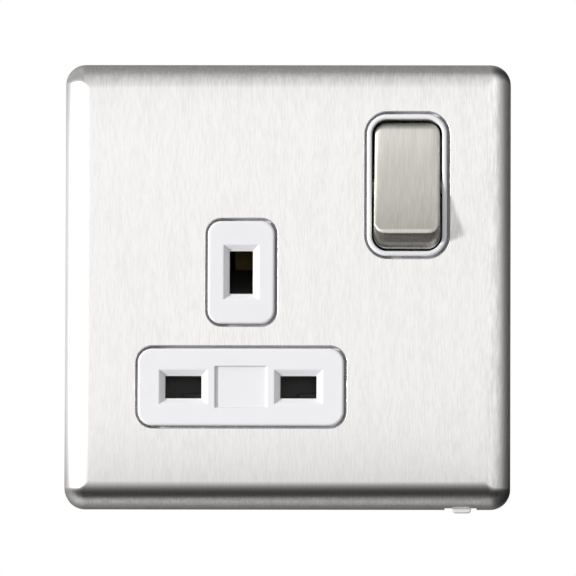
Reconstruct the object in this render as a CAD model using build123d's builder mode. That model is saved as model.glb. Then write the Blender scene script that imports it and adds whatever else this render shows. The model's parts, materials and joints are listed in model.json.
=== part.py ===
from build123d import *
import math
import os

# Front plate: a pressed steel cover, sizes across its outside
plate_size = 86.2
plate_depth = 7.9
plate_corner = 3.9
plate_edge = 5.0
edge_steps = 8
inside_steps = 4
least_corner = 0.3
sheet = 0.9
wall_gap = 0.3
hole_gap = 0.5
hole_round = 0.2
notch_x = 33.5
notch_width = 6.2
notch_height = 3.4

# Plug standard: pin pitch, pin section and reach behind the socket's face
pin_pitch = 22.23
pin_thickness = 4.0
earth_pin_width = 7.95
live_pin_reach = 17.7
earth_pin_reach = 22.73
pin_end_room = 0.4

# Places on the front, from the plate's centre
pin_axis_x = -8.9
pin_row_z = -19.9
rocker_x = 23.1
rocker_z = 19.3

# Front moulding: a tray under the plate with islands that rise through it
moulding_gap = 0.25
web = 3.1
web_gap = 0.1
rim = 2.0
island_rise = 0.5
island_round = 0.4
island_groove = 1.0
tray_steps = 3
live_island_width = 39.8
live_island_height = 14.9
live_island_corner = 2.8
earth_island_width = 12.9
earth_island_height = 19.9
earth_island_corner = 2.6
live_slot_width = 7.0
live_slot_height = 4.35
earth_slot_width = 4.5
earth_slot_height = 8.3
slot_bevel = 0.8
slot_ledge = 0.35
slot_sink = 0.85
slot_round = 0.3
slot_land = 0.6
slot_relief = 0.5
recess_width = 10.0
recess_height = 8.0
recess_depth = 0.35
collar_band = 0.95
well_width = 13.6
well_corner = 3.0
well_round = 0.3
cheek = 2.0
cheek_length = 8.0
cheek_depth = 3.2
tab_x = 33.7
tab_width = 3.65
tab_low = 0.8
tab_high = 3.1
tab_reach = 0.7
tab_round = 0.7
nib_offset = 18.0
nib_length = 6.0
nib_rise = 0.2
nib_low = 1.2
nib_high = 2.4
rib = 1.2
rib_length = 5.0
rib_drop = 2.8
rib_offset_near = 10.0
rib_offset_far = 26.0

# Rocker: a metal cap on a moulded body, shown switched off
rocker_tilt = 10.0
collar_above_pivot = 4.4
cap_above_pivot = 5.6
lip_above_pivot = 1.4
lip = 0.8
rocker_side_gap = 0.35
lip_length = 25.2
rocker_end_gap = 0.2
cap_inset = 0.05
cap_end_angle = 18.0
cap_face_draft = 0.1
cap_corner = 2.6
cap_edge = 1.2
cap_end_round = 2.0
cap_sheet = 0.6
cap_glue = 0.1
hub_width = 11.6
hub_length = 7.0
hub_depth = 2.2
pocket_width = 8.6
pocket_length = 5.0
pocket_place = 7.4
trunnion_radius = 1.35
trunnion_reach = 1.6
running_gap = 0.05
leg_radius = 2.6
leg_reach = 7.8
leg_bore_end = 3.0

# Plunger and its spring in the rocker's leg
plunger_radius = 1.5
plunger_back = 4.4
plunger_stroke = 0.6
plunger_spring_gap = 0.05
plunger_spring_radius = 1.1
plunger_spring_wire = 0.36
plunger_spring_pitch = 1.6
coil_facets = 5

# Switch arm: a shallow V that see-saws on a round knuckle
arm_tilt = 12.0
arm_reach = 8.4
arm_width = 6.0
arm_sheet = 1.0
arm_below_pivot = 0.4
knuckle_radius = 1.2
arm_plunger_gap = 0.1
tip_radius = 1.5
tip_place = 7.0
tip_gap = 0.05
cradle_lip = 0.6
cradle_lip_height = 0.45
cradle_gap = 0.15

# Contact strips and jaws
strip = 0.8
strip_width = 3.6
jaw_bend = 0.5
live_jaw_width = 6.4
live_jaw_top = 0.6
live_jaw_pinch = -3.2
earth_jaw_width = 6.8
earth_jaw_top = -6.0
earth_jaw_pinch = -8.6
jaw_squeeze = 0.45
jaw_flare = 1.3
jaw_belly = 0.8
jaw_flank = 1.0
line_strip_x = 13.2
line_strip_bend_z = 7.5
line_strip_turn_z = 14.0
cradle_end = 2.6
feed_rail_z = 30.4
neutral_turn_z = 15.0
neutral_straight_z = 18.5
earth_flat_end = 12.0
earth_rise_end = 16.8

# Terminal cages and their clamp screws
line_terminal_x = 5.0
neutral_terminal_x = -23.2
terminal_z = 25.0
cage_width = 7.0
cage_height = 7.0
cage_front = 1.0
cage_rear = 1.3
tunnel_width = 4.8
tongue_gap = 0.1
tongue_end = 0.3
clamp_radius = 1.95
clamp_head_radius = 3.1
clamp_head = 1.7
clamp_reach = 2.0
wire_radius = 2.1
nest_gap = 0.1
nest_wall = 1.2
nest_height = 1.1
cage_wall_room = 1.1
screw_recess_size = 8.4
screw_recess_corner = 1.2
screw_recess_depth = 0.7

# Shutter: earth-pin operated, slides down against its spring
shutter = 1.8
shutter_gap = 0.2
shutter_cover = 0.6
shutter_travel = 5.4
lobe_width = 8.4
lobe_height = 5.8
lobe_pocket = 0.9
lobe_ledge_width = 3.6
lobe_ledge_height = 1.2
bar_height = 2.6
bar_overlap = 0.6
tongue_width = 5.0
ramp_back = 0.8
ramp_root = 4.0
ramp_clear = 0.1
shutter_end_room = 0.4
shutter_spring_radius = 1.25
shutter_spring_wire = 0.4
shutter_spring_pitch = 2.3
shutter_spring_height = 2.0

# Leaf that earths the steel plate, through a slot in the moulding
leaf = 0.4
leaf_width = 3.6
leaf_foot_start = 20.6
leaf_rise_z = 17.4
leaf_end_z = 22.6
leaf_crest_z = 20.2
leaf_plate_gap = 0.15
leaf_drop = 0.8
leaf_bend = 0.8
leaf_shoulder = 0.6
leaf_slot_room = 0.8

# Rear housing: a cup that fits a wall box
housing_right = 34.4
housing_top = 34.2
housing_corner = 4.0
housing_wall = 1.6
housing_floor = 2.0
housing_chamfer = 0.8
floor_pad = 0.6
lug_notch_height = 9.6
lug_notch_left = -25.0
lug_notch_right = 25.2
partition = 1.2
partition_gap = 5.0
partition_top_z = 19.6
shutter_rail_gap = 0.2
post = 3.4

# Screws that hold the housing to the moulding
housing_screws_at = [(-24.9, -10.9), (28.6, -10.9), (-16.1, 29.2), (-1.9, 29.2)]
boss_radius = 2.7
boss_length = 5.0
housing_screw_radius = 1.2
housing_screw_head_radius = 2.0
housing_screw_head = 1.4
housing_screw_seat = -6.0
housing_screw_length = 9.4
screw_gap = 0.1
screw_slot = 0.8
screw_slot_depth = 0.7

# Screws that hold the socket to the wall box
fixing_pitch = 60.3
fixing_radius = 1.75
fixing_neck_radius = 1.55
fixing_head_radius = 3.3
fixing_head_edge = 0.3
fixing_head_angle = 90.0
fixing_head_sink = 0.2
fixing_length = 22.0
fixing_hole_gap = 0.4
fixing_boss_radius = 4.6

# Heights above the wall, worked out from the sizes above
web_top = plate_depth - sheet - web_gap
web_under = web_top - web
island_top = plate_depth + island_rise
pivot_height = island_top - collar_above_pivot
strip_front = island_top - live_pin_reach - pin_end_room
strip_back = strip_front - strip
earth_base = island_top - earth_pin_reach - pin_end_room
floor_height = earth_base - strip - floor_pad
rear_height = floor_height - housing_floor
shutter_front = web_under - shutter_gap
shutter_back = shutter_front - shutter
tunnel_rear = floor_height + cage_rear
wire_height = strip_back - wire_radius - tongue_gap
boss_end = web_under - boss_length
arm_pivot_height = strip_front + knuckle_radius + running_gap

# Places worked out from the sizes above
neutral_x = pin_axis_x - pin_pitch / 2
line_x = pin_axis_x + pin_pitch / 2
earth_z = pin_row_z + pin_pitch
rim_size = plate_size - 2 * (sheet + moulding_gap)
rim_corner = plate_corner - sheet - moulding_gap
well_length = lip_length + 2 * rocker_end_gap
collar_width = well_width + 2 * collar_band
collar_length = well_length + 2 * collar_band
lip_width = well_width - 2 * rocker_side_gap
islands = [
    (pin_axis_x, pin_row_z, live_island_width, live_island_height, live_island_corner),
    (pin_axis_x, earth_z, earth_island_width, earth_island_height, earth_island_corner),
    (rocker_x, rocker_z, collar_width, collar_length, well_corner + collar_band),
]
slots = [
    (neutral_x, pin_row_z, live_slot_width, live_slot_height),
    (line_x, pin_row_z, live_slot_width, live_slot_height),
    (pin_axis_x, earth_z, earth_slot_width, earth_slot_height),
]
tab_length = rim + (plate_size - rim_size) / 2 + tab_reach
lobe_top = pin_row_z + live_slot_height / 2 + shutter_cover
lobe_z = lobe_top - lobe_height / 2
bar_low = lobe_top - bar_overlap
ramp_start = earth_z - earth_slot_height / 2
ramp_top = earth_z - earth_pin_width / 2 + shutter_travel - ramp_clear
housing_low_inside = lobe_top - lobe_height - shutter_travel - shutter_end_room
housing_bottom = housing_low_inside - housing_wall
terminal_xs = [line_terminal_x, neutral_terminal_x, pin_axis_x]
housing_left = neutral_terminal_x - cage_width / 2 - cage_wall_room - housing_wall

# Planes: local x is X and local y is Z on the front, local x is Z and local y is height on the side
front = Plane(origin=(0, 0, 0), x_dir=(1, 0, 0), z_dir=(0, -1, 0))


def front_at(x, z, height):
    return Plane(origin=(x, -height, z), x_dir=(1, 0, 0), z_dir=(0, -1, 0))


def side_at(x):
    return Plane(origin=(x, 0, 0), x_dir=(0, 0, 1), z_dir=(1, 0, 0))


def top_at(x, z):
    return Plane(origin=(x, 0, z), x_dir=(1, 0, 0), z_dir=(0, 0, -1))


def tilted(height, degrees):
    angle = math.radians(degrees)
    return Plane(
        origin=(rocker_x, -height, rocker_z),
        x_dir=(1, 0, 0),
        z_dir=(0, -math.cos(angle), math.sin(angle)),
    )


def island_outlines(margin):
    for x, z, width, height, corner in islands:
        with Locations((x, z)):
            RectangleRounded(width + 2 * margin, height + 2 * margin, corner + margin)


def slot_outlines(margin):
    for x, z, width, height in slots:
        with Locations((x, z)):
            Rectangle(width + 2 * margin, height + 2 * margin)


def pressed_block(inset, low, high, steps):
    """Block with the plate's soft front edges, smaller than the plate by an inset on each side."""
    edge = plate_edge - inset
    sections = []
    for step in range(steps + 1):
        angle = math.pi / 2 * step / steps
        shrink = inset + edge * (1 - math.cos(angle))
        side = plate_size - 2 * shrink
        with BuildSketch(front.offset(high - edge + edge * math.sin(angle))) as section:
            RectangleRounded(side, side, max(plate_corner - shrink, least_corner))
        sections.append(section.sketch)
    loft(sections, ruled=True)
    extrude(sections[0], amount=low + edge - high)


def inner_edges(builder):
    front_faces = builder.faces().group_by(Axis.Y)[0]
    return [edge for face in front_faces for edge in face.inner_wires().edges()]


def write(builder, name):
    builder.part.label = name
    export_step(builder.part, f"parts/{name}.step")


os.makedirs("parts", exist_ok=True)

# Inside of the pressed plate
with BuildPart() as plate_inside:
    pressed_block(sheet, 0, plate_depth - sheet, inside_steps)

# Front plate with drawn edges, island holes and the lever notch in its lower skirt
with BuildPart() as front_plate:
    pressed_block(0, wall_gap, plate_depth, edge_steps)
    add(plate_inside.part, mode=Mode.SUBTRACT)
    with BuildSketch(front.offset(plate_depth)):
        island_outlines(hole_gap)
    extrude(amount=-2 * sheet, mode=Mode.SUBTRACT)
    fillet(front_plate.faces().sort_by(Axis.Y)[0].inner_wires().edges(), hole_round)
    with BuildSketch(front.offset(wall_gap)):
        with Locations((notch_x, -plate_size / 2)):
            Rectangle(notch_width, plate_edge)
    extrude(amount=notch_height, mode=Mode.SUBTRACT)
write(front_plate, "front_plate")

# Front moulding: tray, islands, apertures, collar, bosses and ribs
with BuildPart() as front_moulding:
    pressed_block(sheet + moulding_gap, 0, web_top, tray_steps)
    with BuildSketch(front):
        RectangleRounded(rim_size - 2 * rim, rim_size - 2 * rim, rim_corner - rim / 2)
    extrude(amount=web_under, mode=Mode.SUBTRACT)
    with BuildSketch(front.offset(web_top)):
        island_outlines(hole_gap)
    extrude(amount=-island_groove, mode=Mode.SUBTRACT)
    with BuildSketch(front.offset(web_top - island_groove)):
        island_outlines(0)
    extrude(amount=island_top - web_top + island_groove)
    fillet(front_moulding.faces().group_by(Axis.Y)[0].edges(), island_round)
    with BuildSketch(front.offset(island_top)):
        slot_outlines(slot_ledge)
    extrude(amount=-slot_sink, mode=Mode.SUBTRACT)
    chamfer(inner_edges(front_moulding), slot_bevel)
    fillet(inner_edges(front_moulding), slot_round)
    with BuildSketch(front.offset(island_top)):
        slot_outlines(0)
    extrude(amount=web_under - island_top, mode=Mode.SUBTRACT)
    with BuildSketch(front.offset(web_under)):
        slot_outlines(slot_relief)
    extrude(amount=island_top - slot_sink - slot_land - web_under, mode=Mode.SUBTRACT)
    with BuildSketch(front.offset(island_top)):
        with Locations((pin_axis_x, pin_row_z)):
            Rectangle(recess_width, recess_height)
    extrude(amount=-recess_depth, mode=Mode.SUBTRACT)
    with BuildSketch(front.offset(web_under)):
        with Locations(
            (rocker_x - (well_width + cheek) / 2, rocker_z),
            (rocker_x + (well_width + cheek) / 2, rocker_z),
        ):
            Rectangle(cheek, cheek_length)
    extrude(amount=-cheek_depth)
    with BuildSketch(front.offset(island_top)):
        with Locations((rocker_x, rocker_z)):
            RectangleRounded(well_width, well_length, well_corner)
    extrude(amount=web_under - island_top, mode=Mode.SUBTRACT)
    collar_face = front_moulding.faces().group_by(Axis.Y)[0].sort_by(Axis.X)[-1]
    fillet(collar_face.inner_wires().edges(), well_round)
    with BuildSketch(side_at(rocker_x)):
        with Locations((rocker_z, pivot_height)):
            Circle(trunnion_radius + running_gap)
        with Locations((rocker_z, pivot_height / 2)):
            Rectangle(2 * (trunnion_radius + running_gap), pivot_height)
    extrude(amount=well_width / 2 + cheek, both=True, mode=Mode.SUBTRACT)
    with BuildSketch(front.offset(web_under)):
        with Locations(*housing_screws_at):
            Circle(boss_radius)
    extrude(amount=-boss_length)
    with Locations(*[front_at(x, z, boss_end) * Rot(X=180) for x, z in housing_screws_at]):
        Hole(housing_screw_radius + running_gap, boss_length + web / 2)
    with BuildSketch(front.offset(web_under)):
        with Locations((-fixing_pitch / 2, 0), (fixing_pitch / 2, 0)):
            Circle(fixing_boss_radius)
    extrude(amount=-web_under)
    with Locations(*[front_at(x, 0, web_top) for x in (-fixing_pitch / 2, fixing_pitch / 2)]):
        CounterSinkHole(
            fixing_radius + fixing_hole_gap,
            fixing_head_radius + fixing_head_edge + fixing_head_sink + screw_gap,
            counter_sink_angle=fixing_head_angle,
        )
    with BuildSketch(front.offset(web_top)):
        with Locations((pin_axis_x, (leaf_rise_z + leaf_end_z) / 2)):
            Rectangle(leaf_width + leaf_slot_room, leaf_end_z - leaf_rise_z + 2 * leaf_slot_room)
    extrude(amount=-web, mode=Mode.SUBTRACT)
    with BuildSketch(front.offset(tab_low)):
        with Locations((tab_x, rim - rim_size / 2)):
            tab = Rectangle(tab_width, tab_length, align=(Align.CENTER, Align.MAX))
        fillet(tab.vertices().group_by(Axis.Y)[0], tab_round)
    extrude(amount=tab_high - tab_low)
    with BuildSketch(front.offset(nib_low)):
        with PolarLocations(rim_size / 2, 4):
            with Locations((0, nib_offset), (0, -nib_offset)):
                Rectangle(2 * nib_rise, nib_length)
    extrude(amount=nib_high - nib_low)
    with BuildSketch(front.offset(web_under)):
        with PolarLocations(rim_size / 2 - rim - rib_length / 2, 4):
            with Locations(*[(0, s * d) for s in (-1, 1) for d in (rib_offset_near, rib_offset_far)]):
                Rectangle(rib_length, rib)
    extrude(amount=-rib_drop)
write(front_moulding, "front_moulding")

# Rear housing: outline with notches that clear the box lugs
with BuildSketch(front.offset(web_under)) as housing_outline:
    with Locations(((housing_left + housing_right) / 2, (housing_bottom + housing_top) / 2)):
        RectangleRounded(housing_right - housing_left, housing_top - housing_bottom, housing_corner)
    with Locations((housing_left, 0)):
        Rectangle(2 * (lug_notch_left - housing_left), lug_notch_height, mode=Mode.SUBTRACT)
    with Locations((housing_right, 0)):
        Rectangle(2 * (housing_right - lug_notch_right), lug_notch_height, mode=Mode.SUBTRACT)

with BuildSketch(front.offset(web_under)) as housing_inside:
    add(housing_outline.sketch)
    offset(amount=-housing_wall, kind=Kind.INTERSECTION, mode=Mode.REPLACE)

# Posts under the strips, as places on the front
strip_posts_at = [
    (neutral_x, pin_row_z),
    (neutral_x, neutral_turn_z - strip_width),
    (line_x, pin_row_z),
    (line_strip_x, pin_row_z),
    (line_strip_x, line_strip_bend_z - strip_width),
    (rocker_x, rocker_z),
    (rocker_x, feed_rail_z - strip_width),
]
cheek_posts_at = [
    (rocker_x - (well_width + cheek) / 2, rocker_z),
    (rocker_x + (well_width + cheek) / 2, rocker_z),
]
partitions_at = [pin_axis_x - partition_gap, pin_axis_x + partition_gap]

with BuildPart() as rear_housing:
    extrude(housing_outline.sketch, amount=rear_height - web_under)
    chamfer(rear_housing.faces().sort_by(Axis.Y)[-1].edges(), housing_chamfer)
    extrude(housing_inside.sketch, amount=floor_height - web_under, mode=Mode.SUBTRACT)
    with BuildSketch(front.offset(floor_height)):
        with Locations(*strip_posts_at):
            Rectangle(post, post)
    extrude(amount=strip_back - floor_height)
    with BuildSketch(front.offset(floor_height)):
        with Locations(*cheek_posts_at):
            Rectangle(cheek - 2 * screw_gap, 2 * trunnion_radius - screw_gap)
    extrude(amount=pivot_height - trunnion_radius - 2 * running_gap - floor_height)
    with BuildSketch(front.offset(floor_height)):
        with Locations(*[(x, housing_low_inside) for x in partitions_at]):
            Rectangle(
                partition,
                partition_top_z - housing_low_inside,
                align=(Align.CENTER, Align.MIN),
            )
    extrude(amount=shutter_back - shutter_rail_gap - floor_height)
    with BuildSketch(front.offset(floor_height)):
        with Locations((pin_axis_x, earth_z)):
            Rectangle(2 * partition_gap, post)
    extrude(amount=floor_pad)
    with BuildSketch(front.offset(floor_height)):
        with Locations(*[(x, terminal_z) for x in terminal_xs]):
            Rectangle(cage_width + 2 * (nest_gap + nest_wall), cage_height + 2 * (nest_gap + nest_wall))
            Rectangle(cage_width + 2 * nest_gap, cage_height + 2 * nest_gap, mode=Mode.SUBTRACT)
    extrude(amount=nest_height)
    with BuildSketch(front.offset(floor_height)):
        with Locations(*housing_screws_at):
            Circle(boss_radius)
    extrude(amount=boss_end - floor_height)
    with Locations(*[front_at(x, z, rear_height) * Rot(X=180) for x, z in housing_screws_at]):
        CounterBoreHole(
            housing_screw_radius + screw_gap,
            housing_screw_head_radius + screw_gap,
            housing_screw_seat - rear_height,
            boss_end - rear_height,
        )
    with BuildSketch(front.offset(rear_height)):
        with Locations(*[(x, terminal_z) for x in terminal_xs]):
            RectangleRounded(screw_recess_size, screw_recess_size, screw_recess_corner)
    extrude(amount=screw_recess_depth, mode=Mode.SUBTRACT)
    with Locations(*[front_at(x, terminal_z, rear_height) * Rot(X=180) for x in terminal_xs]):
        Hole(clamp_head_radius + screw_gap, housing_floor)
    with Locations(*[Plane(origin=(x, -wire_height, housing_top)) for x in terminal_xs]):
        Hole(wire_radius, housing_wall)
write(rear_housing, "rear_housing")

# Rocker, tilted about its trunnions
rocker_plane = tilted(pivot_height, rocker_tilt)
rocker_side = Plane(origin=rocker_plane.origin, x_dir=rocker_plane.y_dir, z_dir=(1, 0, 0))
cap_width = lip_width - 2 * cap_inset
cap_length = lip_length - 2 * cap_inset
cap_end_run = (cap_above_pivot - lip_above_pivot) * math.tan(math.radians(cap_end_angle))
cap_face_length = cap_length - 2 * cap_end_run
cap_face_width = cap_width - 2 * cap_face_draft
cap_inner_top = cap_above_pivot - cap_sheet


def outward(builder):
    return builder.faces().sort_by(Axis(rocker_plane.origin, rocker_plane.z_dir))[-1]


with BuildPart() as cap_inside:
    with BuildSketch(rocker_plane.offset(lip_above_pivot)):
        RectangleRounded(cap_width - 2 * cap_sheet, cap_length - 2 * cap_sheet, cap_corner - cap_sheet)
    with BuildSketch(rocker_plane.offset(cap_inner_top)):
        RectangleRounded(
            cap_face_width - 2 * cap_sheet,
            cap_face_length - 2 * cap_sheet,
            cap_corner - cap_sheet,
        )
    loft(ruled=True)
    fillet(outward(cap_inside).edges(), cap_edge - cap_sheet)

with BuildPart() as rocker_cap:
    with BuildSketch(rocker_plane.offset(lip_above_pivot)):
        RectangleRounded(cap_width, cap_length, cap_corner)
    with BuildSketch(rocker_plane.offset(cap_above_pivot)):
        RectangleRounded(cap_face_width, cap_face_length, cap_corner)
    loft(ruled=True)
    fillet(outward(rocker_cap).edges(), cap_edge)
    with BuildSketch(rocker_side):
        with BuildLine():
            Polyline(
                (-cap_length / 2, lip_above_pivot),
                (cap_length / 2, lip_above_pivot),
                (cap_face_length / 2, cap_above_pivot),
                (-cap_face_length / 2, cap_above_pivot),
                close=True,
            )
        profile = make_face()
        fillet(profile.vertices().group_by(Axis.Y)[-1], cap_end_round)
    extrude(amount=cap_width, both=True, mode=Mode.INTERSECT)
    add(cap_inside.part, mode=Mode.SUBTRACT)
write(rocker_cap, "rocker_cap")

# Rocker body: lip, core under the cap, hub with trunnions, and the plunger's leg
with BuildPart() as rocker_body:
    with BuildSketch(rocker_plane.offset(lip_above_pivot)):
        RectangleRounded(
            cap_width - 2 * (cap_sheet + cap_glue),
            cap_length - 2 * (cap_sheet + cap_glue),
            cap_corner - cap_sheet,
        )
    with BuildSketch(rocker_plane.offset(cap_inner_top - cap_glue)):
        RectangleRounded(
            cap_face_width - 2 * (cap_sheet + cap_glue),
            cap_face_length - 2 * (cap_sheet + cap_glue),
            cap_corner - cap_sheet,
        )
    loft(ruled=True)
    fillet(outward(rocker_body).edges(), cap_edge - cap_sheet)
    with BuildSketch(rocker_plane.offset(lip_above_pivot)):
        RectangleRounded(lip_width, lip_length, cap_corner + cap_inset)
    extrude(amount=-lip)
    with BuildSketch(rocker_plane.offset(lip_above_pivot - lip)):
        with Locations((0, pocket_place), (0, -pocket_place)):
            Rectangle(pocket_width, pocket_length)
    extrude(amount=cap_inner_top - cap_edge - lip_above_pivot, mode=Mode.SUBTRACT)
    with BuildSketch(rocker_plane.offset(lip_above_pivot - lip)):
        Rectangle(hub_width, hub_length)
    extrude(amount=-(hub_depth + lip_above_pivot - lip))
    with BuildSketch(rocker_side):
        Circle(trunnion_radius)
    extrude(amount=well_width / 2 + trunnion_reach, both=True)
    with BuildSketch(rocker_plane):
        Circle(leg_radius)
    extrude(amount=-leg_reach)
    with BuildSketch(rocker_plane.offset(leg_bore_end)):
        Circle(plunger_radius + running_gap)
    extrude(amount=-(leg_bore_end + leg_reach), mode=Mode.SUBTRACT)
write(rocker_body, "rocker_body")

# Plunger: its round nose rides in the V of the switch arm
arm_slope = math.radians(arm_tilt)
nose_to_arm_pivot = (
    arm_sheet + plunger_radius + arm_plunger_gap
) / math.cos(arm_slope) - arm_below_pivot
nose_reach = pivot_height - arm_pivot_height - nose_to_arm_pivot

with BuildPart() as plunger:
    with BuildSketch(rocker_plane.offset(-plunger_back)):
        Circle(plunger_radius)
    extrude(amount=plunger_back - nose_reach)
    with Locations(rocker_plane.offset(-nose_reach)):
        Sphere(plunger_radius)
write(plunger, "plunger")

# Coil in the leg's bore, drawn at its length under load
plunger_spring_start = leg_bore_end - plunger_spring_gap - plunger_spring_wire / 2
plunger_spring_length = leg_bore_end + plunger_back - plunger_stroke - 2 * plunger_spring_gap
with BuildPart() as plunger_spring:
    with BuildLine() as coil:
        Helix(
            plunger_spring_pitch,
            plunger_spring_length - plunger_spring_wire,
            plunger_spring_radius,
            center=rocker_plane.offset(plunger_spring_start).origin,
            direction=-rocker_plane.z_dir,
        )
    with BuildSketch(Plane(origin=coil.line @ 0, z_dir=coil.line % 0)):
        RegularPolygon(plunger_spring_wire / 2, coil_facets)
    sweep(path=coil.line, is_frenet=True)
write(plunger_spring, "plunger_spring")

# Switch arm: V-shaped strip on a half-round knuckle, thrown the other way from the rocker
arm_plane = tilted(arm_pivot_height, -arm_tilt)
arm_side = Plane(origin=arm_plane.origin, x_dir=arm_plane.y_dir, z_dir=(1, 0, 0))
arm_rise = arm_reach * math.tan(arm_slope)

with BuildPart() as switch_arm:
    with BuildSketch(arm_side):
        with BuildLine():
            Polyline(
                (-arm_reach, arm_rise - arm_below_pivot),
                (0, -arm_below_pivot),
                (arm_reach, arm_rise - arm_below_pivot),
            )
            offset(amount=arm_sheet, side=Side.LEFT, kind=Kind.INTERSECTION)
        make_face()
        with BuildLine():
            knuckle_arc = CenterArc((0, 0), knuckle_radius, 180, 180)
            Line(knuckle_arc @ 1, knuckle_arc @ 0)
        make_face()
    extrude(amount=arm_width / 2, both=True)
write(switch_arm, "switch_arm")

# Contact tips: they meet face to face when the arm is thrown on
tip_thickness = (
    knuckle_radius + running_gap - arm_below_pivot * math.cos(arm_slope) - tip_gap
) / 2
tip_along = arm_plane.y_dir * math.cos(arm_slope) + arm_plane.z_dir * math.sin(arm_slope)
tip_normal = arm_plane.z_dir * math.cos(arm_slope) - arm_plane.y_dir * math.sin(arm_slope)
tip_origin = (
    arm_plane.origin
    + tip_along * tip_place
    - tip_normal * (arm_below_pivot * math.cos(arm_slope))
)

with BuildPart() as moving_tip:
    with BuildSketch(Plane(origin=tip_origin, x_dir=(1, 0, 0), z_dir=tip_normal)):
        Circle(tip_radius)
    extrude(amount=-tip_thickness)
write(moving_tip, "moving_tip")

with BuildPart() as fixed_tip:
    with BuildSketch(front_at(rocker_x, rocker_z + tip_place, strip_front)):
        Circle(tip_radius)
    extrude(amount=tip_thickness)
write(fixed_tip, "fixed_tip")


def jaw_profile(centre, pinch, top, base):
    """Half-open U that pinches a pin, as points across and along the height."""
    squeeze = pin_thickness / 2 - jaw_squeeze
    foot = squeeze + jaw_belly
    half = [
        (squeeze + jaw_flare, top),
        (squeeze, pinch),
        (foot, base + jaw_flank),
        (foot, base),
    ]
    right = [(centre + across, height) for across, height in half]
    left = [(centre - across, height) for across, height in reversed(half)]
    return right + left


# Line contact: jaw, strip and the cradle under the switch arm
with BuildPart() as line_contact:
    with BuildSketch(side_at(line_x)):
        with BuildLine():
            FilletPolyline(
                *jaw_profile(pin_row_z, live_jaw_pinch, live_jaw_top, strip_front),
                radius=jaw_bend,
            )
            offset(amount=strip, side=Side.LEFT)
        make_face()
    extrude(amount=live_jaw_width / 2, both=True)
    with BuildSketch(front.offset(strip_front)):
        with BuildLine():
            Polyline(
                (line_x, pin_row_z),
                (line_strip_x, pin_row_z),
                (line_strip_x, line_strip_bend_z),
                (rocker_x, line_strip_turn_z),
                (rocker_x, rocker_z + cradle_end),
            )
            offset(amount=strip_width / 2)
        make_face()
    extrude(amount=-strip)
    with BuildSketch(front.offset(strip_front)):
        with GridLocations(0, 2 * (knuckle_radius + cradle_gap) + cradle_lip, 1, 2):
            with Locations((rocker_x, rocker_z)):
                Rectangle(strip_width, cradle_lip)
    extrude(amount=cradle_lip_height)
write(line_contact, "line_contact")

# Line feed: from the line terminal, round the top of the switch, to the fixed tip
with BuildPart() as line_feed:
    with BuildSketch(front.offset(strip_front)):
        with BuildLine():
            Polyline(
                (line_terminal_x, terminal_z - cage_height / 2 + strip_width / 2 + tongue_end),
                (line_terminal_x, feed_rail_z),
                (rocker_x, feed_rail_z),
                (rocker_x, rocker_z + tip_place),
            )
            offset(amount=strip_width / 2)
        make_face()
    extrude(amount=-strip)
write(line_feed, "line_feed")

# Neutral contact: jaw and strip up to its terminal
with BuildPart() as neutral_contact:
    with BuildSketch(side_at(neutral_x)):
        with BuildLine():
            FilletPolyline(
                *jaw_profile(pin_row_z, live_jaw_pinch, live_jaw_top, strip_front),
                radius=jaw_bend,
            )
            offset(amount=strip, side=Side.LEFT)
        make_face()
    extrude(amount=live_jaw_width / 2, both=True)
    with BuildSketch(front.offset(strip_front)):
        with BuildLine():
            Polyline(
                (neutral_x, pin_row_z),
                (neutral_x, neutral_turn_z),
                (neutral_terminal_x, neutral_straight_z),
                (neutral_terminal_x, terminal_z + cage_height / 2 - strip_width / 2 - tongue_end),
            )
            offset(amount=strip_width / 2)
        make_face()
    extrude(amount=-strip)
write(neutral_contact, "neutral_contact")

# Earth contact: a deeper jaw, and a strip that rises to its terminal
with BuildPart() as earth_contact:
    with BuildSketch(top_at(pin_axis_x, earth_z)):
        with BuildLine():
            FilletPolyline(
                *jaw_profile(0, earth_jaw_pinch, earth_jaw_top, earth_base),
                radius=jaw_bend,
            )
            offset(amount=strip, side=Side.LEFT)
        make_face()
    extrude(amount=earth_jaw_width / 2, both=True)
    with BuildSketch(side_at(pin_axis_x)):
        with BuildLine():
            FilletPolyline(
                (earth_z, earth_base),
                (earth_flat_end, earth_base),
                (earth_rise_end, strip_front),
                (terminal_z + cage_height / 2 - tongue_end, strip_front),
                radius=2 * strip,
            )
            offset(amount=strip, side=Side.RIGHT)
        make_face()
    extrude(amount=strip_width / 2, both=True)
write(earth_contact, "earth_contact")

# Leaf from the earth strip to the inside of the steel plate
leaf_crest = plate_depth - sheet - leaf_plate_gap
with BuildPart() as plate_earth_spring:
    with BuildSketch(side_at(pin_axis_x)):
        with BuildLine():
            FilletPolyline(
                (leaf_foot_start, strip_front),
                (leaf_rise_z, strip_front),
                (leaf_rise_z, leaf_crest - leaf_shoulder),
                (leaf_crest_z, leaf_crest),
                (leaf_end_z, leaf_crest - leaf_drop),
                radius=leaf_bend,
            )
            offset(amount=leaf, side=Side.RIGHT)
        make_face()
    extrude(amount=leaf_width / 2, both=True)
write(plate_earth_spring, "plate_earth_spring")

# Terminal cages: a tunnel for the wire and the strip's tongue
cage_top = strip_front + cage_front
for name, x in zip(("line_terminal", "neutral_terminal", "earth_terminal"), terminal_xs):
    with BuildPart() as cage:
        with BuildSketch(top_at(x, terminal_z)):
            with Locations((0, floor_height)):
                Rectangle(cage_width, cage_top - floor_height, align=(Align.CENTER, Align.MIN))
            with Locations((0, tunnel_rear)):
                Rectangle(
                    tunnel_width,
                    strip_front - tunnel_rear,
                    align=(Align.CENTER, Align.MIN),
                    mode=Mode.SUBTRACT,
                )
        extrude(amount=cage_height / 2, both=True)
        with Locations(front_at(x, terminal_z, floor_height) * Rot(X=180)):
            Hole(clamp_radius + running_gap, cage_rear)
    write(cage, name)

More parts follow.
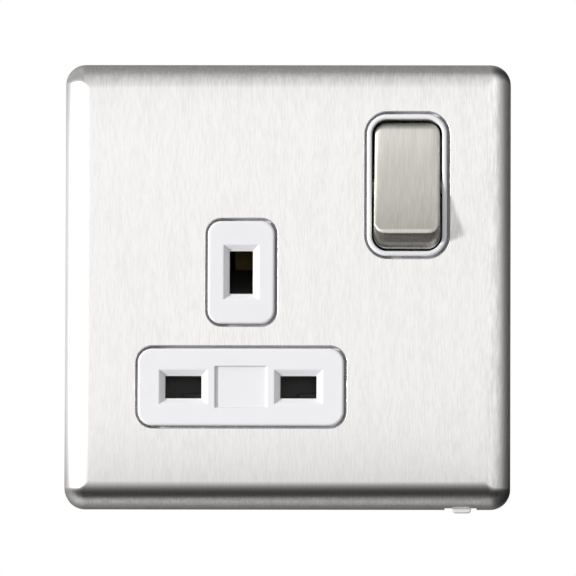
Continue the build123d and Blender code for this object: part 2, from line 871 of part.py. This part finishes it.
# Clamp screws, driven from the rear
with BuildPart() as terminal_screws:
    with BuildSketch(front.offset(floor_height)):
        with Locations(*[(x, terminal_z) for x in terminal_xs]):
            Circle(clamp_head_radius)
    extrude(amount=-clamp_head)
    with BuildSketch(front.offset(floor_height)):
        with Locations(*[(x, terminal_z) for x in terminal_xs]):
            Circle(clamp_radius)
    extrude(amount=cage_rear + clamp_reach)
    with BuildSketch(front.offset(floor_height - clamp_head)):
        with Locations(*[(x, terminal_z) for x in terminal_xs]):
            Rectangle(2 * clamp_head_radius, screw_slot)
    extrude(amount=screw_slot_depth, mode=Mode.SUBTRACT)
write(terminal_screws, "terminal_screws")

# Screws from the housing into the moulding's bosses
with BuildPart() as housing_screws:
    with BuildSketch(front.offset(housing_screw_seat)):
        with Locations(*housing_screws_at):
            Circle(housing_screw_head_radius)
    extrude(amount=-housing_screw_head)
    with BuildSketch(front.offset(housing_screw_seat)):
        with Locations(*housing_screws_at):
            Circle(housing_screw_radius)
    extrude(amount=housing_screw_length)
    with BuildSketch(front.offset(housing_screw_seat - housing_screw_head)):
        with Locations(*housing_screws_at):
            Rectangle(2 * housing_screw_head_radius, screw_slot)
    extrude(amount=screw_slot_depth, mode=Mode.SUBTRACT)
write(housing_screws, "housing_screws")

# Box screws: countersunk heads under the plate, necks in the moulding, threads behind the wall
fixing_top = web_top - fixing_head_sink
fixing_cone_end = fixing_top - fixing_head_edge - (fixing_head_radius - fixing_neck_radius)
with BuildPart() as fixing_screws:
    for x in (-fixing_pitch / 2, fixing_pitch / 2):
        with BuildSketch(top_at(x, 0)):
            with BuildLine():
                Polyline(
                    (0, fixing_top),
                    (fixing_head_radius, fixing_top),
                    (fixing_head_radius, fixing_top - fixing_head_edge),
                    (fixing_neck_radius, fixing_cone_end),
                    (fixing_neck_radius, 0),
                    (fixing_radius, 0),
                    (fixing_radius, fixing_top - fixing_length),
                    (0, fixing_top - fixing_length),
                    close=True,
                )
            make_face()
        revolve(axis=Axis((x, 0, 0), (0, 1, 0)))
        with BuildSketch(front.offset(fixing_top)):
            with Locations((x, 0)):
                Rectangle(screw_slot, 2 * fixing_head_radius)
        extrude(amount=-screw_slot_depth, mode=Mode.SUBTRACT)
write(fixing_screws, "fixing_screws")

# Shutter: two lobes behind the live apertures, a bar, and a tongue with the earth pin's ramp
ramp_low = shutter_front - (ramp_top - ramp_start)
with BuildPart() as shutter_slide:
    with BuildSketch(front.offset(shutter_back)):
        with Locations((neutral_x, lobe_z), (line_x, lobe_z)):
            Rectangle(lobe_width, lobe_height)
        with Locations((pin_axis_x, bar_low)):
            Rectangle(pin_pitch, bar_height, align=(Align.CENTER, Align.MIN))
            Rectangle(tongue_width, ramp_start - bar_low, align=(Align.CENTER, Align.MIN))
    extrude(amount=shutter)
    with BuildSketch(side_at(pin_axis_x)):
        with BuildLine():
            Polyline(
                (ramp_start - ramp_root, shutter_front),
                (ramp_start, shutter_front),
                (ramp_top, ramp_low),
                (ramp_top, ramp_low - ramp_back),
                (ramp_start, ramp_low - ramp_back),
                (ramp_start - ramp_root, shutter_back),
                close=True,
            )
        make_face()
    extrude(amount=tongue_width / 2, both=True)
    with BuildSketch(front.offset(shutter_front)):
        with Locations((neutral_x, pin_row_z), (line_x, pin_row_z)):
            Rectangle(live_slot_width, live_slot_height)
            with Locations((live_slot_width / 2, -live_slot_height / 2)):
                Rectangle(
                    lobe_ledge_width,
                    lobe_ledge_height,
                    align=(Align.MAX, Align.MIN),
                    mode=Mode.SUBTRACT,
                )
    extrude(amount=-lobe_pocket, mode=Mode.SUBTRACT)
write(shutter_slide, "shutter")

# Coil that pushes the shutter up
shutter_spring_length = bar_low - housing_low_inside - 2 * running_gap
with BuildPart() as shutter_spring:
    with BuildLine() as coil:
        Helix(
            shutter_spring_pitch,
            shutter_spring_length - shutter_spring_wire,
            shutter_spring_radius,
            center=(
                pin_axis_x,
                -shutter_spring_height,
                housing_low_inside + running_gap + shutter_spring_wire / 2,
            ),
        )
    with BuildSketch(Plane(origin=coil.line @ 0, z_dir=coil.line % 0)):
        RegularPolygon(shutter_spring_wire / 2, coil_facets)
    sweep(path=coil.line, is_frenet=True)
write(shutter_spring, "shutter_spring")
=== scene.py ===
import json
import math

import bpy
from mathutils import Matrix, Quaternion, Vector


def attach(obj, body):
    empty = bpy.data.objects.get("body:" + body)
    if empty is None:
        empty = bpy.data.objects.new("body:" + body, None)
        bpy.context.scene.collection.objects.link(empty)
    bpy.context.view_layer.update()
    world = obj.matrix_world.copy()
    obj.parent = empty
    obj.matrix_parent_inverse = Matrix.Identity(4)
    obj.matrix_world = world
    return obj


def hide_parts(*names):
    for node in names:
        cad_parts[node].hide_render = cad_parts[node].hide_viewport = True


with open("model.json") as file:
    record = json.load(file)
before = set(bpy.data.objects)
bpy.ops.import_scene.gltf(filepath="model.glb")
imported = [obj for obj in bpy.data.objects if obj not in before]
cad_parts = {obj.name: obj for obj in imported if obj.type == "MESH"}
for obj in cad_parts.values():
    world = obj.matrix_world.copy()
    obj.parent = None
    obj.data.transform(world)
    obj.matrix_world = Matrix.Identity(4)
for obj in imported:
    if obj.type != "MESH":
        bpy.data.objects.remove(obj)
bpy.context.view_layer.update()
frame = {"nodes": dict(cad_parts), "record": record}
nodes = frame["nodes"]

MM = 0.001

# Camera, from the photograph: a long lens a little below and to the right of the plate's centre
IMAGE_SIDE = 576
PIXELS_PER_MM = 5.176
CAMERA_DISTANCE = 2.5
CAMERA_AZIMUTH = 1.3
CAMERA_ELEVATION = -5.0
CAMERA_ROLL = 0.18
CAMERA_TARGET = Vector((0.15, -7.9, -0.69)) * MM
CAMERA_NEAR = 0.1
CAMERA_FAR = 20.0
SENSOR = 36.0

# Lights: places and sizes in metres, power in watts, and the level of the even fill
KEY_PLACE = Vector((-6.92, -3.95, 0.66))
KEY_SIZE = 0.8
KEY_POWER = 650.0
TOP_PLACE = Vector((-0.15, -0.45, 0.8))
TOP_SIZE = 0.6
TOP_POWER = 2.1
AMBIENT = 0.325

# Studio seen in the steel, as degrees from the front and grey level: up over the top, and to the right
UPRIGHT = [
    (-180, 0.18), (-150, 0.15), (-130, 0.22), (-115, 0.38), (-105, 0.54), (-98, 0.54), (-90, 0.4),
    (-84, 0.1), (-77, 0.005), (-49, 0.005), (-41, 0.03), (-32, 0.1), (-22, 0.2), (-12, 0.33), (-3, 0.46),
    (5, 0.57), (12, 0.57), (20, 0.57), (45, 0.59), (73, 0.49), (95, 0.34), (121, 0.28), (180, 0.24),
]
SIDEWAYS = [
    (-180, 0.5), (-158, 0.85), (-130, 0.85), (-95, 0.55), (-60, 0.34), (-22, 0.34), (-10, 0.42),
    (0, 0.6), (6, 0.81), (13, 1.01), (24, 1.09), (48, 1.05), (60, 0.84), (72, 0.64), (82, 0.4),
    (90, 0.14), (97, 0.03), (160, 0.03), (180, 0.5),
]
STUDIO_GAIN = 2.0

# Floor: a pale disc below the object that fades out at its rim
FLOOR_HEIGHT = -0.1
FLOOR_RADIUS = 0.42
FLOOR_SIDES = 96
FLOOR_FADE = (0.35, 0.98)
FLOOR_FIBRES = 900.0
FLOOR_ROUGHNESS = 0.9
FLOOR_DARK = (0.9, 0.9, 0.9)
FLOOR_LIGHT = (0.94, 0.94, 0.94)

# Finishes: the spans of noise that colours and roughness run over, lengths in mm, roughness as plus or minus
NOISE_SPAN = (0.3, 0.7)
STREAK_SPAN = (0.385, 0.615)
BROAD_STREAK = 4
BROAD_SHARE = 0.32
STREAK_ROUGHNESS = 0.04
FLOW_SIZE = 9.0
SKIN_ROUGHNESS = 0.03
WORN_EDGE = 0.4
WORN_EDGE_SAMPLES = 6
STAIN_ROUGHER = 0.07
STAIN_SMOOTHER = 0.05

# Shading over small steps: edges below these angles in degrees run on, and points this near in mm are one
PLATE_STEP = 25.0
CAP_STEP = 40.0
WELD = 0.002


def new_material(name):
    material = bpy.data.materials.new(name)
    material.use_nodes = True
    tree = material.node_tree
    return material, tree, tree.nodes["Principled BSDF"]


def node(tree, kind, **values):
    made = tree.nodes.new(kind)
    for name, value in values.items():
        if hasattr(made, name):
            setattr(made, name, value)
        else:
            made.inputs[name].default_value = value
    return made


def grain(tree, size, detail=3.0, rough=0.6):
    """Noise whose features have the given size in mm along X, Y and Z of the part."""
    place = node(tree, "ShaderNodeTexCoord")
    mapping = node(tree, "ShaderNodeMapping")
    mapping.inputs["Scale"].default_value = [1 / (length * MM) for length in size]
    noise = node(tree, "ShaderNodeTexNoise")
    noise.inputs["Scale"].default_value = 1.0
    noise.inputs["Detail"].default_value = detail
    noise.inputs["Roughness"].default_value = rough
    tree.links.new(place.outputs["Object"], mapping.inputs["Vector"])
    tree.links.new(mapping.outputs["Vector"], noise.inputs["Vector"])
    return noise.outputs["Fac"]


def ramp(tree, factor, span, dark, light):
    """Colour ramp between two colours over a span of a factor."""
    made = node(tree, "ShaderNodeValToRGB")
    for element, position, colour in zip(made.color_ramp.elements, span, (dark, light)):
        element.position = position
        element.color = (*colour, 1.0)
    tree.links.new(factor, made.inputs["Fac"])
    return made.outputs["Color"]


def spread(tree, factor, low, high):
    """Maps the middle of a noise's range to a span of values."""
    made = node(tree, "ShaderNodeMapRange")
    made.inputs["From Min"].default_value = NOISE_SPAN[0]
    made.inputs["From Max"].default_value = NOISE_SPAN[1]
    made.inputs["To Min"].default_value = low
    made.inputs["To Max"].default_value = high
    tree.links.new(factor, made.inputs["Value"])
    return made.outputs["Result"]


def bump(tree, shader, height, depth, under=None):
    """Surface relief of the given depth in mm, over another relief where one is given."""
    made = node(tree, "ShaderNodeBump")
    made.inputs["Strength"].default_value = 1.0
    made.inputs["Distance"].default_value = depth * MM
    tree.links.new(height, made.inputs["Height"])
    if under is not None:
        tree.links.new(under, made.inputs["Normal"])
    tree.links.new(made.outputs["Normal"], shader.inputs["Normal"])


def dome(tree, half, slope):
    """Relief of a sheet bent back towards its top and bottom, with its slope at half its height in mm."""
    place = node(tree, "ShaderNodeTexCoord")
    parts = node(tree, "ShaderNodeSeparateXYZ")
    reach = node(tree, "ShaderNodeMath", operation="DIVIDE")
    reach.inputs[1].default_value = half * MM
    fourth = node(tree, "ShaderNodeMath", operation="POWER")
    fourth.inputs[1].default_value = 4.0
    size = node(tree, "ShaderNodeMath", operation="ABSOLUTE")
    made = node(tree, "ShaderNodeBump", invert=True)
    made.inputs["Strength"].default_value = 1.0
    made.inputs["Distance"].default_value = half * MM * slope / 4
    tree.links.new(place.outputs["Object"], parts.inputs["Vector"])
    tree.links.new(parts.outputs["Z"], reach.inputs[0])
    tree.links.new(reach.outputs["Value"], size.inputs[0])
    tree.links.new(size.outputs["Value"], fourth.inputs[0])
    tree.links.new(fourth.outputs["Value"], made.inputs["Height"])
    return made.outputs["Normal"]


def worn_edge(tree, radius):
    """Normals that run softly over sharp edges, by a radius in mm."""
    made = node(tree, "ShaderNodeBevel", samples=WORN_EDGE_SAMPLES)
    made.inputs["Radius"].default_value = radius * MM
    return made.outputs["Normal"]


def brushed(name, dark, light, rough, streak, depth, anisotropy, bend=None):
    """Satin metal brushed upright: fine and broad streaks in colour, roughness and relief."""
    material, tree, shader = new_material(name)
    streaks = node(tree, "ShaderNodeMix", data_type="FLOAT")
    streaks.inputs["Factor"].default_value = BROAD_SHARE
    tree.links.new(grain(tree, streak), streaks.inputs["A"])
    tree.links.new(grain(tree, [BROAD_STREAK * length for length in streak]), streaks.inputs["B"])
    streaks = streaks.outputs["Result"]
    tree.links.new(ramp(tree, streaks, STREAK_SPAN, dark, light), shader.inputs["Base Color"])
    roughness = spread(tree, streaks, rough + STREAK_ROUGHNESS, rough - STREAK_ROUGHNESS)
    tree.links.new(roughness, shader.inputs["Roughness"])
    bump(tree, shader, streaks, depth, bend and dome(tree, *bend))
    across = node(tree, "ShaderNodeCombineXYZ")
    across.inputs["X"].default_value = 1.0
    tree.links.new(across.outputs["Vector"], shader.inputs["Tangent"])
    shader.inputs["Metallic"].default_value = 1.0
    shader.inputs["Anisotropic"].default_value = anisotropy
    return material


def moulded(name, dark, light, rough, pit, depth):
    """Moulded plastic: faint flow in its colour and a fine skin."""
    material, tree, shader = new_material(name)
    flow = grain(tree, (FLOW_SIZE, FLOW_SIZE, FLOW_SIZE), detail=2.0)
    skin = grain(tree, (pit, pit, pit), detail=2.0)
    tree.links.new(ramp(tree, flow, NOISE_SPAN, dark, light), shader.inputs["Base Color"])
    roughness = spread(tree, skin, rough + SKIN_ROUGHNESS, rough - SKIN_ROUGHNESS)
    tree.links.new(roughness, shader.inputs["Roughness"])
    bump(tree, shader, skin, depth, worn_edge(tree, WORN_EDGE))
    return material


def plain_metal(name, dark, light, rough, blotch, depth):
    """Bare or plated metal with soft stains and rolling marks."""
    material, tree, shader = new_material(name)
    stains = grain(tree, blotch, detail=4.0)
    tree.links.new(ramp(tree, stains, NOISE_SPAN, dark, light), shader.inputs["Base Color"])
    roughness = spread(tree, stains, rough + STAIN_ROUGHER, rough - STAIN_SMOOTHER)
    tree.links.new(roughness, shader.inputs["Roughness"])
    bump(tree, shader, stains, depth)
    shader.inputs["Metallic"].default_value = 1.0
    return material


# Materials, one for each slot of the record
finishes = {
    "plate_steel": brushed(
        "plate_steel",
        dark=(0.785, 0.774, 0.761),
        light=(0.95, 0.938, 0.924),
        rough=0.4,
        streak=(0.34, 0.8, 3.0),
        depth=0.003,
        anisotropy=0.6,
        bend=(38.0, 0.08),
    ),
    "rocker_steel": brushed(
        "rocker_steel",
        dark=(0.47, 0.46, 0.42),
        light=(0.55, 0.538, 0.49),
        rough=0.48,
        streak=(0.28, 0.8, 5.0),
        depth=0.002,
        anisotropy=0.68,
    ),
    "white_moulding": moulded(
        "white_moulding",
        dark=(0.845, 0.845, 0.865),
        light=(0.865, 0.865, 0.885),
        rough=0.34,
        pit=0.25,
        depth=0.001,
    ),
    "housing_plastic": moulded(
        "housing_plastic",
        dark=(0.045, 0.045, 0.047),
        light=(0.06, 0.06, 0.062),
        rough=0.5,
        pit=0.35,
        depth=0.004,
    ),
    "rocker_plastic": moulded(
        "rocker_plastic",
        dark=(0.83, 0.83, 0.85),
        light=(0.85, 0.85, 0.87),
        rough=0.36,
        pit=0.25,
        depth=0.001,
    ),
    "plunger_plastic": moulded(
        "plunger_plastic",
        dark=(0.76, 0.74, 0.69),
        light=(0.82, 0.8, 0.75),
        rough=0.45,
        pit=0.2,
        depth=0.001,
    ),
    "shutter_plastic": moulded(
        "shutter_plastic",
        dark=(0.012, 0.012, 0.01),
        light=(0.018, 0.018, 0.015),
        rough=0.5,
        pit=0.3,
        depth=0.002,
    ),
    "spring_steel": plain_metal(
        "spring_steel",
        dark=(0.5, 0.5, 0.5),
        light=(0.66, 0.66, 0.65),
        rough=0.28,
        blotch=(0.4, 0.4, 0.4),
        depth=0.0006,
    ),
    # Contact brass is coloured darker than plain brass: painted shade for the dim, deep inside of the socket
    # holes
    "contact_brass": plain_metal(
        "contact_brass",
        dark=(0.26, 0.18, 0.075),
        light=(0.36, 0.27, 0.12),
        rough=0.45,
        blotch=(1.2, 1.2, 3.5),
        depth=0.001,
    ),
    "terminal_brass": plain_metal(
        "terminal_brass",
        dark=(0.6, 0.44, 0.19),
        light=(0.78, 0.6, 0.3),
        rough=0.36,
        blotch=(2.0, 0.3, 2.0),
        depth=0.001,
    ),
    "contact_silver": plain_metal(
        "contact_silver",
        dark=(0.74, 0.74, 0.72),
        light=(0.88, 0.88, 0.86),
        rough=0.3,
        blotch=(0.8, 0.8, 0.8),
        depth=0.0008,
    ),
    "screw_steel": plain_metal(
        "screw_steel",
        dark=(0.58, 0.57, 0.52),
        light=(0.74, 0.73, 0.69),
        rough=0.32,
        blotch=(0.9, 0.9, 0.9),
        depth=0.001,
    ),
}

for part in frame["record"]["subparts"]:
    mesh = nodes[part["node"]].data
    mesh.materials.clear()
    mesh.materials.append(finishes[part["material_slot"]])


# Shading that runs on over small steps, as on the plate's drawn edge
def soften(piece, limit):
    """Smooth normals over edges below an angle, with large faces leading."""
    group = bpy.data.node_groups.new("soft_edges", "GeometryNodeTree")
    group.interface.new_socket("Geometry", in_out="INPUT", socket_type="NodeSocketGeometry")
    group.interface.new_socket("Geometry", in_out="OUTPUT", socket_type="NodeSocketGeometry")
    smooth_edges = node(group, "GeometryNodeSetShadeSmooth", domain="EDGE")
    chain = [
        node(group, "NodeGroupInput"),
        node(group, "GeometryNodeRemoveAttribute", Name="custom_normal"),
        node(group, "GeometryNodeMergeByDistance", Distance=WELD * MM),
        node(group, "GeometryNodeSetShadeSmooth", domain="FACE"),
        smooth_edges,
        node(group, "NodeGroupOutput"),
    ]
    for before, after in zip(chain, chain[1:]):
        group.links.new(before.outputs[0], after.inputs[0])
    angle = node(group, "GeometryNodeInputMeshEdgeAngle")
    small = node(group, "FunctionNodeCompare", operation="LESS_THAN")
    small.inputs[1].default_value = math.radians(limit)
    group.links.new(angle.outputs["Unsigned Angle"], small.inputs[0])
    group.links.new(small.outputs["Result"], smooth_edges.inputs["Shade Smooth"])
    piece.modifiers.new("soft_edges", "NODES").node_group = group
    weighted = piece.modifiers.new("large_faces_lead", "WEIGHTED_NORMAL")
    weighted.keep_sharp = True


soften(nodes["front_plate"], PLATE_STEP)


# Rocker cap with its dished face, in the rocker's own frame: across, along and out from the pivot
PIVOT = Vector((23.1, -4.0, 19.3))
TILT = math.radians(10.0)
CAP_HALF_WIDTH = 6.4
CAP_HALF_LENGTH = 12.55
CAP_BASE = 1.4
CAP_TOP = 5.78
CAP_LEAN = 0.03
CAP_CORNER = 2.6
CAP_INNER_CORNER = 0.9
CAP_SHEET = 0.6
SIDE_DRAFT = 0.1
SIDE_HEIGHT = 4.2
SIDE_SLOPE = math.atan(SIDE_DRAFT / SIDE_HEIGHT)
END_SLOPE = math.radians(18.0)
SIDE_ROUND = 0.6
END_ROUND = 1.7
FOOT_START = math.radians(8.0)
FOOT_SLOPE = math.radians(38.0)
FOOT_TIP = 0.15
FOOT_EDGE = math.radians(72.0)
FOOT_BROW = 3.0
DISH = 0.6
DISH_HALF = 10.0
DISH_POWER = 2.5
PILLOW = 0.1
PILLOW_WIDTH = 1.4
ARC_STEPS = 10
WALL_STEPS = 8
FACE_RINGS = 16
CORNER_STEPS = 10
SIDE_STEPS = 18


def rounded_outline(half_width, head, foot, corner):
    """Points round a rounded rectangle, each with its outward direction, from its middle to head and foot."""
    bends = []
    for quarter, (sign_x, sign_y) in enumerate([(1, 1), (-1, 1), (-1, -1), (1, -1)]):
        end = head if sign_y > 0 else foot
        centre = Vector((sign_x * (half_width - corner), sign_y * (end - corner)))
        for step in range(CORNER_STEPS + 1):
            turn = math.pi / 2 * (quarter + step / CORNER_STEPS)
            out = Vector((math.cos(turn), math.sin(turn)))
            bends.append((centre + corner * out, out))
    outline = []
    for index, (place, out) in enumerate(bends):
        outline.append((place, out))
        if index % (CORNER_STEPS + 1) == CORNER_STEPS:
            following = bends[(index + 1) % len(bends)][0]
            for step in range(1, SIDE_STEPS):
                outline.append((place.lerp(following, step / SIDE_STEPS), out))
    return outline


def edge_profile(slope, radius, stage):
    """Inset and height of the cap's side: up the wall for stages below one, round the arc above it."""
    tangent = CAP_TOP - radius + radius * math.sin(slope)
    middle = radius * math.cos(slope) + (tangent - CAP_BASE) * math.tan(slope)
    if stage <= 1:
        height = CAP_BASE + (tangent - CAP_BASE) * stage
        return (height - CAP_BASE) * math.tan(slope), height
    turn = slope + (math.pi / 2 - slope) * (stage - 1)
    return middle - radius * math.cos(turn), CAP_TOP - radius + radius * math.sin(turn)


def foot_profile(stage):
    """Inset and height of the cap's lower end: a wide curve below stage one, then a tip and a slow brow."""
    brow_drop = FOOT_BROW * (1 - math.sin(FOOT_EDGE))
    tip_rise = FOOT_TIP * (math.sin(FOOT_EDGE) - math.sin(FOOT_SLOPE))
    tip_start = CAP_TOP - brow_drop - tip_rise
    radius = (tip_start - CAP_BASE) / (math.sin(FOOT_SLOPE) - math.sin(FOOT_START))
    inset, height = 0.0, CAP_BASE
    for first, last, curve, part in (
        (FOOT_START, FOOT_SLOPE, radius, stage),
        (FOOT_SLOPE, FOOT_EDGE, FOOT_TIP, 2 * stage - 2),
        (FOOT_EDGE, math.pi / 2, FOOT_BROW, 2 * stage - 3),
    ):
        turn = first + (last - first) * min(max(part, 0.0), 1.0)
        inset += curve * (math.cos(first) - math.cos(turn))
        height += curve * (math.sin(turn) - math.sin(first))
    return inset, height


def cap_point(place, height):
    """Point of the cap in the part's frame, sunk by the dish and the sides in proportion to its height."""
    hollow = max(0.0, 1 - abs(place.y / DISH_HALF) ** DISH_POWER) * DISH - CAP_LEAN * place.y
    beside = abs(place.x) - (CAP_HALF_WIDTH - SIDE_ROUND - PILLOW_WIDTH)
    hollow += PILLOW * (max(0.0, beside) / PILLOW_WIDTH) ** 2
    out = height - hollow * (height - CAP_BASE) / (CAP_TOP - CAP_BASE)
    along = Vector((0, math.sin(TILT), math.cos(TILT))) * place.y
    away = Vector((0, -math.cos(TILT), math.sin(TILT))) * out
    return (PIVOT + Vector((place.x, 0, 0)) + along + away) * MM


def make_cap():
    full_inset = edge_profile(SIDE_SLOPE, SIDE_ROUND, 2)[0]
    rings = []
    rim_end = CAP_HALF_LENGTH - CAP_SHEET
    rim = rounded_outline(CAP_HALF_WIDTH - CAP_SHEET, rim_end, rim_end, CAP_CORNER - CAP_SHEET)
    rings.append([cap_point(place, CAP_BASE) for place, out in rim])
    stages = [step / WALL_STEPS for step in range(WALL_STEPS)]
    stages += [1 + step / ARC_STEPS for step in range(ARC_STEPS + 1)]
    for stage in stages:
        side_inset, side_height = edge_profile(SIDE_SLOPE, SIDE_ROUND, stage)
        head_inset, head_height = edge_profile(END_SLOPE, END_ROUND, stage)
        foot_inset, foot_height = foot_profile(stage)
        corner = CAP_CORNER + (CAP_INNER_CORNER - CAP_CORNER) * side_inset / full_inset
        outline = rounded_outline(
            CAP_HALF_WIDTH - side_inset, CAP_HALF_LENGTH - head_inset, CAP_HALF_LENGTH - foot_inset, corner
        )
        ring = []
        for place, out in outline:
            end_height = head_height if out.y > 0 else foot_height
            ring.append(cap_point(place, side_height + (end_height - side_height) * out.y ** 2))
        rings.append(ring)
    for step in range(1, FACE_RINGS):
        rings.append([cap_point(place * (1 - step / FACE_RINGS), CAP_TOP) for place, out in outline])
    count = len(outline)
    points = [point for ring in rings for point in ring]
    faces = []
    for ring in range(len(rings) - 1):
        for step in range(count):
            low, high = ring * count, (ring + 1) * count
            following = (step + 1) % count
            faces.append((low + step, low + following, high + following, high + step))
    points.append(cap_point(Vector((0, 0)), CAP_TOP))
    last = (len(rings) - 1) * count
    faces += [(last + step, last + (step + 1) % count, len(points) - 1) for step in range(count)]
    mesh = bpy.data.meshes.new("dished_cap")
    mesh.from_pydata(points, [], faces)
    mesh.materials.append(finishes["rocker_steel"])
    cap = bpy.data.objects.new("dished_cap", mesh)
    bpy.context.scene.collection.objects.link(cap)
    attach(cap, "rocker")
    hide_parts("rocker_cap")
    soften(cap, CAP_STEP)


make_cap()


# Floor, which keeps the object's shadow and fades into the white around it
def make_floor():
    bpy.ops.mesh.primitive_circle_add(
        vertices=FLOOR_SIDES, radius=FLOOR_RADIUS, fill_type="NGON", location=(0, 0, FLOOR_HEIGHT)
    )
    floor = bpy.context.object
    floor.name = "floor"
    material, tree, shader = new_material("floor_paper")
    shader.inputs["Roughness"].default_value = FLOOR_ROUGHNESS
    place = node(tree, "ShaderNodeTexCoord")
    reach = node(tree, "ShaderNodeVectorMath", operation="LENGTH")
    fade = node(tree, "ShaderNodeMapRange", interpolation_type="SMOOTHSTEP")
    fade.inputs["From Min"].default_value = FLOOR_RADIUS * FLOOR_FADE[0]
    fade.inputs["From Max"].default_value = FLOOR_RADIUS * FLOOR_FADE[1]
    fade.inputs["To Min"].default_value = 1.0
    fade.inputs["To Max"].default_value = 0.0
    fibre = node(tree, "ShaderNodeTexNoise")
    fibre.inputs["Scale"].default_value = FLOOR_FIBRES
    tree.links.new(place.outputs["Object"], reach.inputs[0])
    tree.links.new(place.outputs["Object"], fibre.inputs["Vector"])
    tree.links.new(reach.outputs["Value"], fade.inputs["Value"])
    paper = ramp(tree, fibre.outputs["Fac"], NOISE_SPAN, FLOOR_DARK, FLOOR_LIGHT)
    tree.links.new(paper, shader.inputs["Base Color"])
    tree.links.new(fade.outputs["Result"], shader.inputs["Alpha"])
    floor.data.materials.append(material)
    floor.visible_glossy = False


make_floor()


# World: white for the camera, a studio of pale and dark sides for reflections, an even fill for the rest
def around(tree, angle, points):
    """Grey levels round a full turn, from pairs of degrees and level."""
    turn = node(tree, "ShaderNodeMapRange")
    turn.inputs["From Min"].default_value = -math.pi
    turn.inputs["From Max"].default_value = math.pi
    made = node(tree, "ShaderNodeValToRGB")
    elements = made.color_ramp.elements
    while len(elements) < len(points):
        elements.new(0.5)
    for element, (degrees, level) in zip(elements, points):
        element.position = (degrees + 180) / 360
        element.color = (level, level, level, 1.0)
    tree.links.new(angle, turn.inputs["Value"])
    tree.links.new(turn.outputs["Result"], made.inputs["Fac"])
    return made.outputs["Color"]


def make_world():
    world = bpy.data.worlds.new("studio")
    bpy.context.scene.world = world
    world.use_nodes = True
    tree = world.node_tree
    tree.nodes.clear()
    path = node(tree, "ShaderNodeLightPath")
    place = node(tree, "ShaderNodeTexCoord")
    parts = node(tree, "ShaderNodeSeparateXYZ")
    tree.links.new(place.outputs["Generated"], parts.inputs["Vector"])
    forward = node(tree, "ShaderNodeMath", operation="MULTIPLY")
    forward.inputs[1].default_value = -1.0
    tree.links.new(parts.outputs["Y"], forward.inputs[0])
    pitch = node(tree, "ShaderNodeMath", operation="ARCTAN2")
    tree.links.new(parts.outputs["Z"], pitch.inputs[0])
    tree.links.new(forward.outputs["Value"], pitch.inputs[1])
    heading = node(tree, "ShaderNodeMath", operation="ARCTAN2")
    tree.links.new(parts.outputs["X"], heading.inputs[0])
    tree.links.new(forward.outputs["Value"], heading.inputs[1])
    studio = node(tree, "ShaderNodeMix", data_type="RGBA", blend_type="MULTIPLY")
    studio.inputs["Factor"].default_value = 1.0
    tree.links.new(around(tree, pitch.outputs["Value"], UPRIGHT), studio.inputs["A"])
    tree.links.new(around(tree, heading.outputs["Value"], SIDEWAYS), studio.inputs["B"])
    shown = node(tree, "ShaderNodeMath", operation="MAXIMUM")
    tree.links.new(path.outputs["Is Glossy Ray"], shown.inputs[0])
    tree.links.new(path.outputs["Is Transmission Ray"], shown.inputs[1])
    fill = node(tree, "ShaderNodeBackground")
    fill.inputs["Color"].default_value = (1.0, 1.0, 1.0, 1.0)
    fill.inputs["Strength"].default_value = AMBIENT
    seen = node(tree, "ShaderNodeBackground")
    seen.inputs["Strength"].default_value = STUDIO_GAIN
    tree.links.new(studio.outputs["Result"], seen.inputs["Color"])
    white = node(tree, "ShaderNodeBackground")
    white.inputs["Color"].default_value = (1.0, 1.0, 1.0, 1.0)
    reflected = node(tree, "ShaderNodeMixShader")
    final = node(tree, "ShaderNodeMixShader")
    out = node(tree, "ShaderNodeOutputWorld")
    tree.links.new(shown.outputs["Value"], reflected.inputs["Fac"])
    tree.links.new(fill.outputs["Background"], reflected.inputs[1])
    tree.links.new(seen.outputs["Background"], reflected.inputs[2])
    tree.links.new(path.outputs["Is Camera Ray"], final.inputs["Fac"])
    tree.links.new(reflected.outputs["Shader"], final.inputs[1])
    tree.links.new(white.outputs["Background"], final.inputs[2])
    tree.links.new(final.outputs["Shader"], out.inputs["Surface"])


make_world()


# Lamps: a small key from the left and a broad soft one from above
def lamp(name, place, size, power):
    light = bpy.data.lights.new(name, "AREA")
    light.shape = "DISK"
    light.size = size
    light.energy = power
    made = bpy.data.objects.new(name, light)
    made.location = place
    made.rotation_euler = (-place).to_track_quat("-Z", "Y").to_euler()
    made.visible_camera = False
    bpy.context.scene.collection.objects.link(made)
    return made


lamp("key_lamp", KEY_PLACE, KEY_SIZE, KEY_POWER)
lamp("top_lamp", TOP_PLACE, TOP_SIZE, TOP_POWER).visible_glossy = False


# Camera
def make_camera():
    azimuth, elevation = math.radians(CAMERA_AZIMUTH), math.radians(CAMERA_ELEVATION)
    back = Vector(
        (
            math.sin(azimuth) * math.cos(elevation),
            -math.cos(azimuth) * math.cos(elevation),
            math.sin(elevation),
        )
    )
    data = bpy.data.cameras.new("camera")
    data.sensor_width = SENSOR
    data.lens = SENSOR * CAMERA_DISTANCE / (IMAGE_SIDE / PIXELS_PER_MM * MM)
    data.clip_start = CAMERA_NEAR
    data.clip_end = CAMERA_FAR
    camera = bpy.data.objects.new("camera", data)
    camera.location = CAMERA_TARGET + back * CAMERA_DISTANCE
    turn = (-back).to_track_quat("-Z", "Y") @ Quaternion((0, 0, 1), math.radians(CAMERA_ROLL))
    camera.rotation_euler = turn.to_euler()
    bpy.context.scene.collection.objects.link(camera)
    bpy.context.scene.camera = camera


make_camera()
bpy.context.scene.view_settings.view_transform = "Standard"
